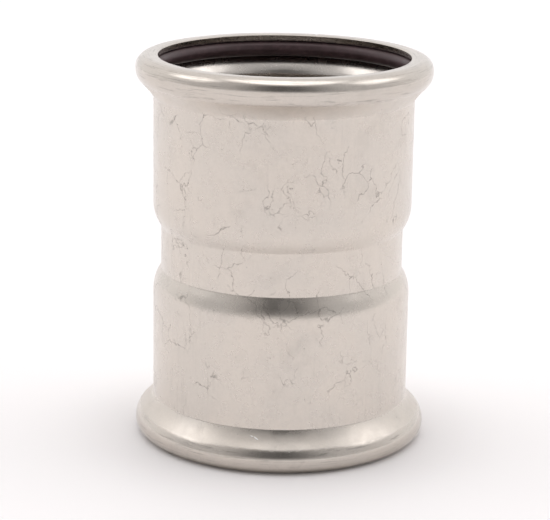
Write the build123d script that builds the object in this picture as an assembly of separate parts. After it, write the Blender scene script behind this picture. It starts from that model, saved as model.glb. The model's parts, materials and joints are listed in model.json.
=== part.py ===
from build123d import *
import os
from math import cos, radians, sin, tan

# Straight press-fit coupling for two 54 mm tubes, standing on one mouth.
# The origin is the centre of the lower end face and +Z runs along the bore.
# All lengths are in millimetres, and both ends are alike.

# tube and sockets
overall_length = 86.0
neck_radius = 27.0  # outside of the middle, the size of the tube it is made from
socket_radius = 28.75  # outside of the two expanded sockets
wall = 1.5

# shoulders between the neck and the sockets, which stop the inserted tubes
stop_depth = 38.2  # from a mouth to the corner of neck and shoulder
shoulder_angle = 30.0  # to the axis
neck_fillet = 0.8
shoulder_fillet = 8.2

# hollow bead at each mouth, a rounded section that opens inwards
bead_radius = 32.7  # largest outside radius
crown_fillet = 2.8  # section's outer shoulder, next to the end face
belly_fillet = 4.0  # section's larger round, next to the socket
belly_straight = 0.2  # short straight between the two
flank_angle = 47.5  # to the axis, where the belly runs into the hollow flank
crease_angle = 32.0  # to the axis, where the hollow flank runs down to the socket
root_fillet = 0.6  # in the crease between flank and socket
lip_centre_radius = 28.9  # where the end face starts to turn down into the mouth
lip_fillet = 3.3
lip_turn = 20.2  # how far the lip turns down before it is cut off

# seal rings
seal_cord = 3.6
seal_inner_radius = 27.15  # 0.15 outside a 54 mm tube
seal_depth = 3.5  # from a mouth to the middle of the cord

same_point = 1e-6  # two points nearer than this are one

# worked out from the above, in a frame with its origin at mid length
half_length = overall_length / 2
shoulder = radians(shoulder_angle)
flank = radians(flank_angle)
crease = radians(crease_angle)
neck_corner = half_length - stop_depth
socket_corner = neck_corner + (socket_radius - neck_radius) / tan(shoulder)
neck_fillet_height = neck_corner - neck_fillet * tan(shoulder / 2)
shoulder_fillet_height = socket_corner + shoulder_fillet * tan(shoulder / 2)
seal_centre_radius = seal_inner_radius + seal_cord / 2


def on_circle(centre, radius, angle):
    """Point of a circle in the section, its angle counted from straight out towards the end face."""
    return (centre[0] + radius * cos(radians(angle)), centre[1] + radius * sin(radians(angle)))


def arc(centre, radius, start, end):
    """Arc of the section about a centre, between two angles."""
    middle = (start + end) / 2
    return ThreePointArc(*(on_circle(centre, radius, a) for a in (start, middle, end)))


# centres of the bead's arcs: the flank's hollow takes up what the rounds leave of the bead's height
crown_centre = (bead_radius - crown_fillet, half_length - crown_fillet)
belly_centre = (bead_radius - belly_fillet, crown_centre[1] - belly_straight)
rounds_height = belly_fillet * (1 - cos(flank)) + root_fillet * (1 - cos(crease))
hollow_radius = (bead_radius - socket_radius - rounds_height) / (cos(crease) - cos(flank))
hollow_centre = on_circle(belly_centre, belly_fillet + hollow_radius, -flank_angle)
root_centre = on_circle(hollow_centre, hollow_radius - root_fillet, 180 - crease_angle)
lip_centre = (lip_centre_radius, half_length - lip_fillet)


def wall_line(thickness):
    """One face of the wall, this far inside the outer face, as tangent arcs from mid length up to the lip."""
    neck_centre = (neck_radius + neck_fillet, neck_fillet_height)
    shoulder_centre = (socket_radius - shoulder_fillet, shoulder_fillet_height)
    return [
        arc(neck_centre, neck_fillet + thickness, 180, 180 - shoulder_angle),
        arc(shoulder_centre, shoulder_fillet - thickness, -shoulder_angle, 0),
        arc(root_centre, root_fillet + thickness, 180, 180 - crease_angle),
        arc(hollow_centre, hollow_radius + thickness, 180 - crease_angle, 180 - flank_angle),
        arc(belly_centre, belly_fillet - thickness, -flank_angle, 0),
        arc(crown_centre, crown_fillet - thickness, 0, 90),
        arc(lip_centre, lip_fillet - thickness, 90, 90 + lip_turn),
    ]


def joined(arcs):
    """Straight lines between each arc's end and the next arc's start, where the two don't meet."""
    ends = [(a @ 1, b @ 0) for a, b in zip(arcs, arcs[1:])]
    return [Line(start, end) for start, end in ends if (end - start).length > same_point]


def upper_half_section():
    """Closed section of the wall above mid length: outer face, cut lip, inner face and the mid plane."""
    outer = wall_line(0)
    inner = wall_line(wall)
    outer_foot = (neck_radius, 0)
    inner_foot = (neck_radius - wall, 0)
    edges = outer + joined(outer) + inner + joined(inner)
    edges.append(Line(outer[-1] @ 1, inner[-1] @ 1))
    edges.append(Line(outer_foot, outer[0] @ 0))
    edges.append(Line(inner_foot, inner[0] @ 0))
    edges.append(Line(outer_foot, inner_foot))
    return make_face(Wire.combine([e.edge() for e in edges])[0].edges())


def coupling_body():
    """The whole tube: one section, mirrored at mid length and turned about the axis."""
    half = upper_half_section()
    section = half + mirror(half, about=Plane.XZ)
    upright = Plane.XZ * section
    return Pos(0, 0, half_length) * revolve(upright, axis=Axis.Z)


def seal_ring(height):
    """Round rubber ring about the axis, with its cord's middle at this height."""
    return Pos(0, 0, height) * Torus(seal_centre_radius, seal_cord / 2)


def main():
    nodes = {
        "coupling_body": coupling_body(),
        "upper_seal_ring": seal_ring(overall_length - seal_depth),
        "lower_seal_ring": seal_ring(seal_depth),
    }
    os.makedirs("parts", exist_ok=True)
    for name, solid in nodes.items():
        export_step(solid, f"parts/{name}.step")
        box = solid.bounding_box()
        print(name, "volume", round(solid.volume, 1), "size", [round(v, 2) for v in box.size])

    bore_bottom = half_length + shoulder_fillet_height
    bore_top = half_length + root_centre[1]
    print("upper bore from", round(bore_bottom, 3), "to", round(bore_top, 3))
    print("bore radius", socket_radius - wall, "length", round(bore_top - bore_bottom, 3))
    print("hollow of the flank", round(hollow_radius, 3))
    print("end face from radius", lip_centre[0], "to", round(crown_centre[0], 3))


main()
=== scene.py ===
import json
import math

import bpy
import numpy as np
from mathutils import Matrix, Vector


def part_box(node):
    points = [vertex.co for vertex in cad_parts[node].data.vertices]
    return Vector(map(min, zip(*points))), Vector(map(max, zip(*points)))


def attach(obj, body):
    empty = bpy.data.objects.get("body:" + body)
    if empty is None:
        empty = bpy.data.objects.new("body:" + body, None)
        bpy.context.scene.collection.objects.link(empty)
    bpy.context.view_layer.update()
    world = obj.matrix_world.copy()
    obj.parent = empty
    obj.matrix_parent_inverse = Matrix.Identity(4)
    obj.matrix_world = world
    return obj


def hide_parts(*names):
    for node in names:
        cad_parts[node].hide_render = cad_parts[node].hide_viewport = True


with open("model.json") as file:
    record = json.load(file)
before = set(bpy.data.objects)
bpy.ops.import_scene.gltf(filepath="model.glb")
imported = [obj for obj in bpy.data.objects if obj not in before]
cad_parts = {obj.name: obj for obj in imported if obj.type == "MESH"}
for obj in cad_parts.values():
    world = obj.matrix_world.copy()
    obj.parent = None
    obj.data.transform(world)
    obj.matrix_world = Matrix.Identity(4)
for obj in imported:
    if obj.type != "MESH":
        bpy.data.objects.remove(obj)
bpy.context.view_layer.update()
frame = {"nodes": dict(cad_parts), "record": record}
mm = 0.001
print("frame loaded:", sorted(frame["nodes"]))


def addNode(tree, kind, settings=None, **inputs):
    # inputs go by name, with _ for a space, or by place as i0, i1; each is a value or another node's output
    made = tree.nodes.new("ShaderNode" + kind)
    for key, value in (settings or {}).items():
        setattr(made, key, value)
    for key, value in inputs.items():
        byPlace = key[0] == "i" and key[1:].isdigit()
        socket = made.inputs[int(key[1:]) if byPlace else key.replace("_", " ")]
        if isinstance(value, bpy.types.NodeSocket):
            tree.links.new(value, socket)
        else:
            socket.default_value = value
    return made


def maths(tree, operation, *values):
    inputs = {f"i{n}": value for n, value in enumerate(values)}
    return addNode(tree, "Math", {"operation": operation}, **inputs).outputs[0]


def product(tree, first, *others):
    for other in others:
        first = maths(tree, "MULTIPLY", first, other)
    return first


def opposite(tree, value):
    return maths(tree, "SUBTRACT", 1.0, value)


def raised(tree, total, mask, amount):
    # total + mask x amount
    return maths(tree, "MULTIPLY_ADD", mask, amount, total)


def fromAxis(tree, x, y):
    # distance from the z axis: the root of x squared and y squared
    return maths(tree, "SQRT", maths(tree, "ADD", product(tree, x, x), product(tree, y, y)))


def inMillimetres(tree, coords):
    return addNode(tree, "Mapping", None, Vector=coords.outputs["Object"], Scale=(1 / mm,) * 3).outputs[0]


def ramp(tree, value, low, high, start=0.0, end=1.0):
    # smooth step from start to end while the value runs from low to high
    return addNode(tree, "MapRange", {"interpolation_type": "SMOOTHSTEP"}, Value=value,
                   From_Min=low, From_Max=high, To_Min=start, To_Max=end).outputs["Result"]


def band(tree, value, edges):
    # comes up between the first two edges and goes down between the last two
    return product(tree, ramp(tree, value, *edges[:2]), ramp(tree, value, *edges[2:], 1.0, 0.0))


def noise(tree, vector, scale, detail, roughness=0.5):
    return addNode(tree, "TexNoise", None, Vector=vector, Scale=scale, Detail=detail,
                   Roughness=roughness).outputs["Fac"]


def patches(tree, vector, scale, edge, detail, roughness=0.5, levels=(0.0, 1.0)):
    # noise made into patches: it goes from one level to the other as it crosses its edge
    return ramp(tree, noise(tree, vector, scale, detail, roughness), *edge, *levels)


def rgba(colour):
    return colour if isinstance(colour, bpy.types.NodeSocket) else (*colour, 1.0)


def mixColour(tree, factor, first, second, blend="MIX"):
    return addNode(tree, "Mix", {"data_type": "RGBA", "blend_type": blend},
                   i0=factor, i6=rgba(first), i7=rgba(second)).outputs[2]


def newMaterial(name):
    material = bpy.data.materials.new(name)
    material.use_nodes = True
    tree = material.node_tree
    return material, tree, tree.nodes["Principled BSDF"]


def addBump(tree, shader, relief, distance):
    bump = addNode(tree, "Bump", None, Strength=1.0, Distance=distance, Height=relief)
    tree.links.new(bump.outputs[0], shader.inputs["Normal"])


def gridMesh(name, points, material, closedAround=True, closedAlong=True):
    # points is an array of (along, around, 3); each cell becomes a quad facing along the cross
    # product of the around and along directions, and the UV map is the cell's place in the grid
    along, around = points.shape[:2]
    rows = along if closedAlong else along - 1
    columns = around if closedAround else around - 1
    i, j = np.meshgrid(np.arange(rows), np.arange(columns), indexing="ij")
    corners = [(i, j), (i, j + 1), (i + 1, j + 1), (i + 1, j)]
    faces = np.stack([(a % along) * around + b % around for a, b in corners], -1).reshape(-1, 4)
    uv = np.stack([np.stack([b / columns, a / rows], -1) for a, b in corners], 2).reshape(-1, 2)
    mesh = bpy.data.meshes.new(name)
    mesh.vertices.add(along * around)
    mesh.vertices.foreach_set("co", points.astype(np.float32).ravel())
    mesh.loops.add(faces.size)
    mesh.loops.foreach_set("vertex_index", faces.astype(np.int32).ravel())
    mesh.polygons.add(len(faces))
    mesh.polygons.foreach_set("loop_start", np.arange(0, faces.size, 4, dtype=np.int32))
    mesh.polygons.foreach_set("use_smooth", np.ones(len(faces), bool))
    mesh.update(calc_edges=True)
    mesh.uv_layers.new(name="unrolled").data.foreach_set("uv", uv.astype(np.float32).ravel())
    mesh.materials.append(material)
    piece = bpy.data.objects.new(name, mesh)
    bpy.context.scene.collection.objects.link(piece)
    return piece


# the pressed tube, in millimetres and degrees; its length, bead and bore are read from the frame
tube = {
    "wall": 1.5, "neckRadius": 27.0, "stopDepth": 38.2,
    "shoulderAngle": 30.0, "neckFillet": 0.8, "shoulderFillet": 8.2,
    "crownFillet": 2.8, "bellyFillet": 4.0, "bellyStraight": 0.2,
    "flankAngle": 47.5, "creaseAngle": 32.0, "rootFillet": 0.6,
    "lipRadius": 28.9, "lipFillet": 3.3, "lipTurn": 20.2,
    "lipEdge": 0.14, "lipEdgePoints": 4,                        # rounding of the cut lip's two edges
    "arcStep": 4.5, "arcPoints": 4, "longestStep": 1.1, "around": 240,
    # shallow lobes left by the rolling: each one's share, count round the tube, start and twist per mm
    "lobeDepth": 0.05,
    "lobes": ((0.45, 2, 0.6, 0.02), (0.2, 5, 1.1, -0.05), (0.15, 9, 0.0, 0.11), (0.2, 3, 2.0, -0.16)),
    # uneven end faces: each wave's share, count and start, and how short a part of the half length dips
    "rimDip": 0.03, "rimWaves": ((0.3, 3, 0.4), (0.2, 7, 0.0)), "rimPart": 8,
}

tubeLow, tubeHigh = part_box("coupling_body")
tubeLength = (tubeHigh.z - tubeLow.z) / mm
halfLength = tubeLength / 2
beadRadius = (tubeHigh.x - tubeLow.x) / 2 / mm
bore = next(m for m in frame["record"]["mounts"] if m["name"] == "upper_socket")
socketRadius = bore["dims"]["r_mm"] + tube["wall"]


def arcPoints(centre, radius, start, end):
    # centre + radius (cos a, sin a), with a running evenly between the two angles
    count = max(tube["arcPoints"], int(abs(end - start) / tube["arcStep"]) + 2)
    a = np.radians(np.linspace(start, end, count))
    return np.stack([centre[0] + radius * np.cos(a), centre[1] + radius * np.sin(a)], 1)


def wallFace(inset):
    # one face of the wall from mid length up to the lip, in (radius, height) from mid length: tangent
    # arcs about fixed centres, with the inset added to a hollow's radius and taken off a round's
    neckFillet, shoulderFillet, crownFillet, bellyFillet, rootFillet, lipFillet = (
        tube[k + "Fillet"] for k in ("neck", "shoulder", "crown", "belly", "root", "lip"))
    shoulderTurn, flankTurn, creaseTurn = (tube[k + "Angle"] for k in ("shoulder", "flank", "crease"))
    turn, flank, crease = (math.radians(angle) for angle in (shoulderTurn, flankTurn, creaseTurn))
    neckCorner = halfLength - tube["stopDepth"]
    socketCorner = neckCorner + (socketRadius - tube["neckRadius"]) / math.tan(turn)
    neck = (tube["neckRadius"] + neckFillet, neckCorner - neckFillet * math.tan(turn / 2))
    shoulder = (socketRadius - shoulderFillet, socketCorner + shoulderFillet * math.tan(turn / 2))
    crown = (beadRadius - crownFillet, halfLength - crownFillet)
    belly = (beadRadius - bellyFillet, crown[1] - tube["bellyStraight"])
    # the flank's hollow takes up what the rounds leave of the bead's height
    rounds = bellyFillet * (1 - math.cos(flank)) + rootFillet * (1 - math.cos(crease))
    hollowRadius = (beadRadius - socketRadius - rounds) / (math.cos(crease) - math.cos(flank))
    reach = bellyFillet + hollowRadius
    hollow = (belly[0] + reach * math.cos(flank), belly[1] - reach * math.sin(flank))
    root = (socketRadius + rootFillet, hollow[1] + (hollowRadius - rootFillet) * math.sin(crease))
    lip = (tube["lipRadius"], halfLength - lipFillet)
    return np.concatenate([
        arcPoints(neck, neckFillet + inset, 180, 180 - shoulderTurn),
        arcPoints(shoulder, shoulderFillet - inset, -shoulderTurn, 0),
        arcPoints(root, rootFillet + inset, 180, 180 - creaseTurn),
        arcPoints(hollow, hollowRadius + inset, 180 - creaseTurn, 180 - flankTurn)[1:],
        arcPoints(belly, bellyFillet - inset, -flankTurn, 0)[1:],
        arcPoints(crown, crownFillet - inset, 0, 90),
        arcPoints(lip, lipFillet - inset, 90, 90 + tube["lipTurn"]),
    ])


def softEdge(before, corner, after):
    # quadratic curve across a corner, (1 - t)^2 a + 2 t (1 - t) corner + t^2 b, between points on its sides
    a = corner + (before - corner) / np.linalg.norm(before - corner) * tube["lipEdge"]
    b = corner + (after - corner) / np.linalg.norm(after - corner) * tube["lipEdge"]
    t = np.linspace(0, 1, tube["lipEdgePoints"])[:, None]
    return (1 - t) ** 2 * a + 2 * t * (1 - t) * corner + t ** 2 * b


def fillStraights(points):
    # closed line with its long segments divided evenly: point + share of the way to the next one
    step = np.roll(points, -1, 0) - points
    parts = np.ceil(np.hypot(*step.T) / tube["longestStep"]).astype(int).clip(1)
    index = np.repeat(np.arange(len(points)), parts)
    share = (np.arange(len(index)) - np.repeat(np.cumsum(parts) - parts, parts)) / parts[index]
    return points[index] + step[index] * share[:, None]


def tubeSection():
    # closed section: up the outside, round the cut lip, down the inside, round the lower lip and back
    outer, inner = wallFace(0), wallFace(tube["wall"])[::-1]
    half = np.concatenate([
        outer[:-1],
        softEdge(outer[-2], outer[-1], inner[0]),
        softEdge(outer[-1], inner[0], inner[1]),
        inner[1:],
    ])
    return fillStraights(np.concatenate([half, (half * [1, -1])[::-1]]))


def makeTube(material):
    # (r cos a, r sin a, z), where r and z follow the section, less a little: r falls by half the lobe depth
    # times 1 - the lobes, a sum of cosines of the angle and the height, and near each mouth z moves inwards
    # by the rim dip times 0.5 - the rim's waves
    section = tubeSection()
    a = np.linspace(0, 2 * np.pi, tube["around"], endpoint=False)[None, :]
    r, z = section[:, :1], section[:, 1:] + halfLength
    lobes = sum(share * np.cos(count * a + start + twist * z) for share, count, start, twist in tube["lobes"])
    radius = r - tube["lobeDepth"] / 2 * (1 - lobes)
    waves = sum(share * np.cos(count * a + start) for share, count, start in tube["rimWaves"])
    fromMouth = 1 - np.abs(z / halfLength - 1)
    inward = np.clip(1 - tube["rimPart"] * fromMouth, 0, 1) * np.sign(halfLength - z)
    height = z + inward * (0.5 - waves) * tube["rimDip"]
    points = np.stack([radius * np.cos(a), radius * np.sin(a), height], -1) * mm
    print("tube made:", len(section), "points round its section and", tube["around"], "round its axis")
    return gridMesh("pressedTube", points, material)


def upperLipShare():
    # share of the section's points that come before the upper lip's outer corner
    section = tubeSection()
    return int(np.argmin(np.hypot(*(section - wallFace(0)[-1]).T))) / len(section)


# satin stainless steel: sizes are in millimetres, a scale is in cells to the millimetre, and an edge is
# where a noise between 0 and 1 turns into its mark; a span is how deep from the end face, or for the crown
# also from the bead's largest radius, a mask starts and is full
steel = {
    "warm": (0.69, 0.633, 0.573), "cool": (0.668, 0.619, 0.566), "patchSize": 13.0, "patchEdge": (0.35, 0.65),
    "inside": (0.66, 0.62, 0.578), "lipBlend": 0.004,           # share of the section over which it comes in
    # how much the crown is darkened is a painted shade: it copies a darker reflection on the bead's crown and
    # is no mark on the steel
    "beadSpan": (9.6, 7.6), "crownSpan": (1.4, 0.6), "crownPaintedShade": 0.07,
    "roughness": (0.2, 0.3), "roughScale": 0.3, "roughEdge": (0.3, 0.7),
    "crownSmoother": 0.08, "flankRougher": 0.13, "markRougher": 0.08,
    "grainSize": 0.4, "grainDepth": 0.004, "markDepth": 0.006,
    "speckle": 0.05, "speckleScale": 1.9, "speckleEdge": (0.25, 0.75),
    # hairlines: each layer's cell size, height and start, then the size and reach of each bend
    "hairLayers": ((12.0, 0.45, (7, 17, 5)), (6.0, 0.7, (38, 17, 5))),
    "hairBends": ((6.0, 5.0), (1.5, 1.6), (0.45, 0.5)),
    "hairDark": 0.4, "hairWidth": 0.105, "hairPatch": 12.0, "hairEdge": (0.5, 0.61), "hairOnBead": 0.2,
    # pits: size and edge are shares of the spacing
    "pitDark": 0.45, "pitSpacing": 2.2, "pitSize": 0.09, "pitSizeScale": 0.16, "pitEdge": (-0.01, 0.03),
    "pitGroupScale": 0.22, "pitGroupEdge": (0.5, 0.62),
    "smudgeDark": 0.07, "smudgeSize": 9.0, "smudgeEdge": (0.56, 0.72),
    # marks drawn along the tube, and streaks rolled round its beads
    "drawnDark": 0.05, "drawnScale": (1.5, 1.5, 0.1), "drawnEdge": (0.5, 0.75),
    "drawnGroupScale": 0.07, "drawnGroupEdge": (0.45, 0.6),
    "rolledDark": 0.3, "rolledSize": 0.3, "rolledLength": 8.0, "rolledDepth": 0.0012,
    "rolledEdge": (0.53, 0.7),
    # nicks: turn from +X in degrees, radius and height, then length, width and lean of the mark
    "nicks": ((-99.5, 30.1, 7.6, 0.85, 0.17, -28.0), (-101.2, 29.95, 7.85, 0.5, 0.15, -8.0),
              (75.5, 29.0, 86.0, 0.45, 0.3, 0.0)),
    "nickReach": 0.6, "nickEdge": (0.6, 1.0), "nickShine": 0.95, "nickDepth": 0.05,
}


def crookedLines(tree, place, cell, stretch):
    # edges between the cells of a voronoi pattern, bent by noises: 1 on the line, 0 beside it
    bent = place
    for size, reach in steel["hairBends"]:
        wander = addNode(tree, "TexNoise", None, Vector=place, Scale=1 / size, Detail=1.0).outputs["Color"]
        push = addNode(tree, "VectorMath", {"operation": "SUBTRACT"}, i0=wander, i1=(0.5,) * 3).outputs[0]
        bent = addNode(tree, "VectorMath", {"operation": "MULTIPLY_ADD"},
                       i0=push, i1=(reach,) * 3, i2=bent).outputs[0]
    tall = addNode(tree, "Mapping", None, Vector=bent, Scale=(1, 1, stretch)).outputs[0]
    edges = addNode(tree, "TexVoronoi", {"feature": "DISTANCE_TO_EDGE"}, Vector=tall, Scale=1 / cell)
    return ramp(tree, edges.outputs["Distance"], 0, steel["hairWidth"] / cell, 1.0, 0.0)


def hairMarks(tree, place):
    # layers of crooked lines, each only where a broad noise lets it through
    hair = 0.0
    for cell, stretch, start in steel["hairLayers"]:
        shifted = addNode(tree, "Mapping", None, Vector=place, Location=start).outputs[0]
        lines = crookedLines(tree, shifted, cell, stretch)
        let = patches(tree, shifted, 1 / steel["hairPatch"], steel["hairEdge"], detail=3, roughness=0.6)
        hair = maths(tree, "MAXIMUM", hair, product(tree, lines, let))
    return hair


def pitMarks(tree, place):
    # small round pits of uneven size, one to a cell, in groups
    cells = addNode(tree, "TexVoronoi", {"feature": "F1"}, Vector=place, Scale=1 / steel["pitSpacing"])
    size = product(tree, noise(tree, place, steel["pitSizeScale"], detail=2), steel["pitSize"])
    fromPit = maths(tree, "SUBTRACT", cells.outputs["Distance"], size)
    group = patches(tree, place, steel["pitGroupScale"], steel["pitGroupEdge"], detail=2)
    return product(tree, ramp(tree, fromPit, *steel["pitEdge"], 1.0, 0.0), group)


def drawnMarks(tree, place):
    # faint marks along the tube, in groups
    along = addNode(tree, "Mapping", None, Vector=place, Scale=steel["drawnScale"]).outputs[0]
    group = patches(tree, place, steel["drawnGroupScale"], steel["drawnGroupEdge"], detail=2)
    return product(tree, patches(tree, along, 1.0, steel["drawnEdge"], detail=3), group)


def rolledStreaks(tree, x, y, across):
    # noise drawn out long round the tube and fine across the bead
    around = addNode(tree, "CombineXYZ", None, X=maths(tree, "DIVIDE", x, steel["rolledLength"]),
                     Y=maths(tree, "DIVIDE", y, steel["rolledLength"]),
                     Z=maths(tree, "DIVIDE", across, steel["rolledSize"])).outputs[0]
    return noise(tree, around, 1.0, detail=4, roughness=0.65)


def nickMarks(tree, place):
    # soft ellipsoids, each 1 at its middle
    nick = 0.0
    for turn, far, high, length, width, lean in steel["nicks"]:
        a = math.radians(turn)
        spot = addNode(tree, "Mapping", {"vector_type": "TEXTURE"}, Vector=place,
                       Location=(far * math.cos(a), far * math.sin(a), high),
                       Rotation=(math.radians(lean), 0, a),
                       Scale=(steel["nickReach"], length, width)).outputs[0]
        apart = addNode(tree, "VectorMath", {"operation": "LENGTH"}, i0=spot).outputs["Value"]
        nick = maths(tree, "MAXIMUM", nick, ramp(tree, apart, *steel["nickEdge"], 1.0, 0.0))
    return nick


def steelMaterial(lipShare):
    # lipShare is how far round the section the upper lip is, which tells the inside from the outside
    material, tree, shader = newMaterial("satinSteel")
    coords = addNode(tree, "TexCoord")
    place = inMillimetres(tree, coords)
    x, y, z = addNode(tree, "SeparateXYZ", None, Vector=place).outputs
    radius = fromAxis(tree, x, y)
    fromMid = maths(tree, "ABSOLUTE", maths(tree, "SUBTRACT", z, halfLength))

    # masks: the outer face, the bead and the plain tube, then the bead's crown and flank outside
    share = addNode(tree, "SeparateXYZ", None, Vector=coords.outputs["UV"]).outputs[1]
    fromInside = maths(tree, "ABSOLUTE", maths(tree, "SUBTRACT", share, 0.5))
    lipPlace = 0.5 - lipShare
    outside = ramp(tree, fromInside, lipPlace - steel["lipBlend"], lipPlace + steel["lipBlend"])
    fromEnd = maths(tree, "SUBTRACT", fromMid, halfLength)
    bead = ramp(tree, fromEnd, *(-depth for depth in steel["beadSpan"]))
    plain = opposite(tree, bead)
    outerBead = product(tree, bead, outside)
    rim = maths(tree, "MAXIMUM", maths(tree, "SUBTRACT", radius, beadRadius), fromEnd)
    crown = product(tree, outerBead, ramp(tree, rim, *(-depth for depth in steel["crownSpan"])))
    flank = product(tree, outerBead, opposite(tree, crown))

    hairHere = maths(tree, "MULTIPLY_ADD", plain, 1 - steel["hairOnBead"], steel["hairOnBead"])
    hair = product(tree, hairMarks(tree, place), outside, hairHere)
    pit = product(tree, pitMarks(tree, place), outside)
    smudge = patches(tree, place, 1 / steel["smudgeSize"], steel["smudgeEdge"], detail=3, roughness=0.6)
    drawn = product(tree, drawnMarks(tree, place), plain)
    streaks = rolledStreaks(tree, x, y, maths(tree, "SUBTRACT", fromMid, radius))
    rolled = product(tree, ramp(tree, streaks, *steel["rolledEdge"]), crown)
    nick = nickMarks(tree, place)

    # colour: warm and cool patches outside, one tint inside, darkened by the marks and by a painted shade
    # over the bead's crown, and bright in the nicks
    patch = patches(tree, place, 1 / steel["patchSize"], steel["patchEdge"], detail=5, roughness=0.6)
    tint = mixColour(tree, patch, steel["warm"], steel["cool"])
    clean = mixColour(tree, outside, steel["inside"], tint)
    dark = patches(tree, place, steel["speckleScale"], steel["speckleEdge"], detail=2, roughness=0.7,
                   levels=(1 - steel["speckle"], 1.0))
    for mark, depth in ((hair, "hairDark"), (pit, "pitDark"), (smudge, "smudgeDark"),
                        (drawn, "drawnDark"), (rolled, "rolledDark"), (crown, "crownPaintedShade")):
        dark = product(tree, dark, opposite(tree, product(tree, mark, steel[depth])))
    shade = addNode(tree, "CombineColor", None, Red=dark, Green=dark, Blue=dark).outputs[0]
    worn = mixColour(tree, 1.0, clean, shade, "MULTIPLY")
    colour = mixColour(tree, nick, worn, (steel["nickShine"],) * 3)
    tree.links.new(colour, shader.inputs["Base Color"])
    shader.inputs["Metallic"].default_value = 1.0

    rough = patches(tree, place, steel["roughScale"], steel["roughEdge"], detail=4, roughness=0.6,
                    levels=steel["roughness"])
    rough = raised(tree, rough, crown, -steel["crownSmoother"])
    rough = raised(tree, rough, flank, steel["flankRougher"])
    rough = raised(tree, rough, maths(tree, "MAXIMUM", hair, rolled), steel["markRougher"])
    tree.links.new(rough, shader.inputs["Roughness"])

    grain = noise(tree, place, 1 / steel["grainSize"], detail=3, roughness=0.6)
    relief = product(tree, grain, steel["grainDepth"])
    relief = raised(tree, relief, product(tree, streaks, crown), steel["rolledDepth"])
    relief = raised(tree, relief, maths(tree, "MAXIMUM", hair, pit), -steel["markDepth"])
    relief = raised(tree, relief, nick, steel["nickDepth"])
    addBump(tree, shader, relief, mm)
    return material


# the seal rings, in millimetres and degrees; the ring and its cord are read from the frame
seal = {
    "around": 220, "section": 40, "flash": 0.04, "flashWidth": 6.0,
    "colour": (0.058, 0.035, 0.038), "sheenTint": (1.0, 0.84, 0.85),
    "bloomScale": 0.5, "bloomEdge": (0.4, 0.75), "bloomLighter": 1.6,
    "rough": (0.28, 0.42), "roughEdge": (0.3, 0.7), "grainScale": 3.0, "grainDepth": 0.004,
}


def makeSeal(name, node, material):
    # torus: ((R + c cos b) cos a, (R + c cos b) sin a, c sin b) about the ring's own middle, where the
    # cord's radius c rises by a low rounded flash line where b is 0 or half a turn
    low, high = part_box(node)
    cord = (high.z - low.z) / 2 / mm
    ringRadius = (high.x - low.x) / 2 / mm - cord
    a = np.linspace(0, 2 * np.pi, seal["around"], endpoint=False)[None, :]
    b = np.linspace(0, 2 * np.pi, seal["section"], endpoint=False)[::-1, None]  # so that faces point out
    line = np.exp(-(np.degrees(np.arcsin(np.abs(np.sin(b)))) / seal["flashWidth"]) ** 2)
    c = cord - seal["flash"] * (1 - line)
    radius = ringRadius + c * np.cos(b)
    height = c * np.sin(b) + (low.z + high.z) / 2 / mm
    points = np.stack([radius * np.cos(a), radius * np.sin(a), height + 0 * a], -1) * mm
    return gridMesh(name, points, material)


def rubberMaterial():
    # black rubber with a slightly paler bloom in patches, which also sets how dull it is
    material, tree, shader = newMaterial("sealRubber")
    place = inMillimetres(tree, addNode(tree, "TexCoord"))
    bloom = noise(tree, place, seal["bloomScale"], detail=4, roughness=0.6)
    paler = tuple(seal["bloomLighter"] * c for c in seal["colour"])
    colour = mixColour(tree, ramp(tree, bloom, *seal["bloomEdge"]), seal["colour"], paler)
    tree.links.new(colour, shader.inputs["Base Color"])
    tree.links.new(ramp(tree, bloom, *seal["roughEdge"], *seal["rough"]), shader.inputs["Roughness"])
    shader.inputs["Specular Tint"].default_value = rgba(seal["sheenTint"])
    grain = noise(tree, place, seal["grainScale"], detail=2)
    addBump(tree, shader, grain, seal["grainDepth"] * mm)
    return material


body = makeTube(steelMaterial(upperLipShare()))
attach(body, "root")
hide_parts("coupling_body")
rubber = rubberMaterial()
for sealName, node in (("upperSeal", "upper_seal_ring"), ("lowerSeal", "lower_seal_ring")):
    ring = makeSeal(sealName, node, rubber)
    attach(ring, "root")
    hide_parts(node)
print("seal rings made")


# the floor, in metres; a span is where its painted shade or its painted glow comes up: the floor is painted
# darker towards the front, and it glows a little as painted light, faded out under the piece as a painted
# contact shadow
floorLook = {
    "size": 6.0, "points": 3, "roughness": 0.6, "specular": 0.2,
    "near": (0.95, 0.93, 0.935), "far": (0.97, 0.955, 0.96), "paintedShadeSpan": (-0.35, 0.6),
    "paintedGlow": 0.08, "paintedGlowTint": (1.0, 0.985, 0.99), "paintedShadowSpan": (0.027, 0.055),
}


def makeFloor():
    # flat grid (x, y, 0) with painted light: darker towards the front as painted shade, and a glow that
    # brightens it, less so under the piece as a painted contact shadow
    material, tree, shader = newMaterial("paleFloor")
    coords = addNode(tree, "TexCoord").outputs["Object"]
    x, y = addNode(tree, "SeparateXYZ", None, Vector=coords).outputs[:2]
    # painted shade: the floor's colour runs darker towards the front
    colour = mixColour(tree, ramp(tree, y, *floorLook["paintedShadeSpan"]), floorLook["near"], floorLook["far"])
    tree.links.new(colour, shader.inputs["Base Color"])
    shader.inputs["Roughness"].default_value = floorLook["roughness"]
    shader.inputs["Specular IOR Level"].default_value = floorLook["specular"]
    shader.inputs["Emission Color"].default_value = rgba(floorLook["paintedGlowTint"])
    # painted light and shadow: the glow brightens the floor and fades out under the piece
    paintedGlow = ramp(tree, fromAxis(tree, x, y), *floorLook["paintedShadowSpan"], 0.0, floorLook["paintedGlow"])
    tree.links.new(paintedGlow, shader.inputs["Emission Strength"])
    half = floorLook["size"] / 2
    side = np.linspace(-half, half, floorLook["points"])
    across, deep = np.meshgrid(side, side)
    points = np.stack([across, deep, 0 * across], -1)
    gridMesh("floor", points, material, closedAround=False, closedAlong=False)


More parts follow.
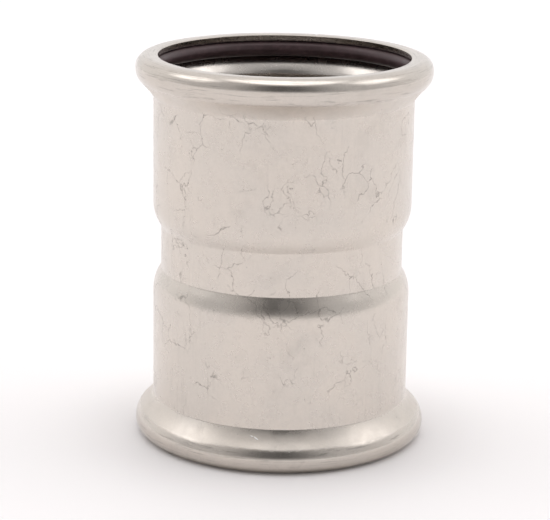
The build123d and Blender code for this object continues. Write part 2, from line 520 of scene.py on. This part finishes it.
# radiance of the tent by direction, in degrees of height and of turn from straight in front
tent = {
    "side": 0.64, "sideTint": (1.0, 0.985, 0.985), "back": 0.36, "backTurn": (60, 125),
    "top": 2.0, "topHeight": (63, 73),
    "boxLight": 1.15, "boxTurn": (66, 86, 108, 125), "boxHeight": (25, 42, 52, 62),
    "window": 0.15, "windowTurn": (5, 58), "windowHeight": (2, 14, 50, 66),
}


def makeTent():
    # walls with a soft box at each side, brighter behind, a dark window in front and a bright top
    world = bpy.data.worlds.new("lightTent")
    bpy.context.scene.world = world
    world.use_nodes = True
    tree = world.node_tree
    direction = addNode(tree, "TexCoord").outputs["Generated"]
    x, y, z = addNode(tree, "SeparateXYZ", None, Vector=direction).outputs
    height = maths(tree, "DEGREES", maths(tree, "ARCSINE", z))
    turn = maths(tree, "DEGREES", maths(tree, "ARCTAN2", x, product(tree, y, -1.0)))
    aside = maths(tree, "ABSOLUTE", turn)

    boxes = product(tree, band(tree, aside, tent["boxTurn"]), band(tree, height, tent["boxHeight"]))
    behind = ramp(tree, aside, *tent["backTurn"], tent["side"], tent["side"] + tent["back"])
    around = raised(tree, behind, boxes, tent["boxLight"])
    front = product(tree, ramp(tree, aside, *tent["windowTurn"], 1.0, 0.0),
                    band(tree, height, tent["windowHeight"]))
    walls = product(tree, around, raised(tree, 1.0, front, tent["window"] / tent["side"] - 1))
    strength = addNode(tree, "Mix", {"data_type": "FLOAT"}, i0=ramp(tree, height, *tent["topHeight"]),
                       i2=walls, i3=tent["top"]).outputs[0]
    background = tree.nodes["Background"]
    background.inputs["Color"].default_value = rgba(tent["sideTint"])
    tree.links.new(strength, background.inputs["Strength"])


# the camera, in metres and degrees, with its lens and sensor in millimetres
view = {
    "distance": 0.44191, "height": 0.15948, "pitch": 15.216, "roll": 0.923, "yaw": -0.187,
    "lens": 133.37, "sensor": 36.0, "clip": (0.01, 20.0),
}


def makeCamera():
    # in front of the piece, looking down by the pitch, to the side by the yaw and tipped by the roll
    camera = bpy.data.objects.new("camera", bpy.data.cameras.new("camera"))
    bpy.context.scene.collection.objects.link(camera)
    pitch, roll, yaw = (math.radians(view[k]) for k in ("pitch", "roll", "yaw"))
    forward = Vector((math.sin(yaw) * math.cos(pitch), math.cos(yaw) * math.cos(pitch), -math.sin(pitch)))
    right = Vector((math.cos(yaw), -math.sin(yaw), 0))
    up = right.cross(forward)
    x = right * math.cos(roll) + up * math.sin(roll)
    y = up * math.cos(roll) - right * math.sin(roll)
    turn = Matrix((x, y, -forward)).transposed().to_4x4()
    camera.matrix_world = Matrix.Translation((0, -view["distance"], view["height"])) @ turn
    camera.data.lens = view["lens"]
    camera.data.sensor_width = view["sensor"]
    camera.data.clip_start, camera.data.clip_end = view["clip"]
    bpy.context.scene.camera = camera


makeFloor()
makeTent()
makeCamera()
bpy.context.scene.view_settings.view_transform = "Standard"
bpy.context.scene.cycles.glossy_bounces = 8
print("floor, light and camera made")
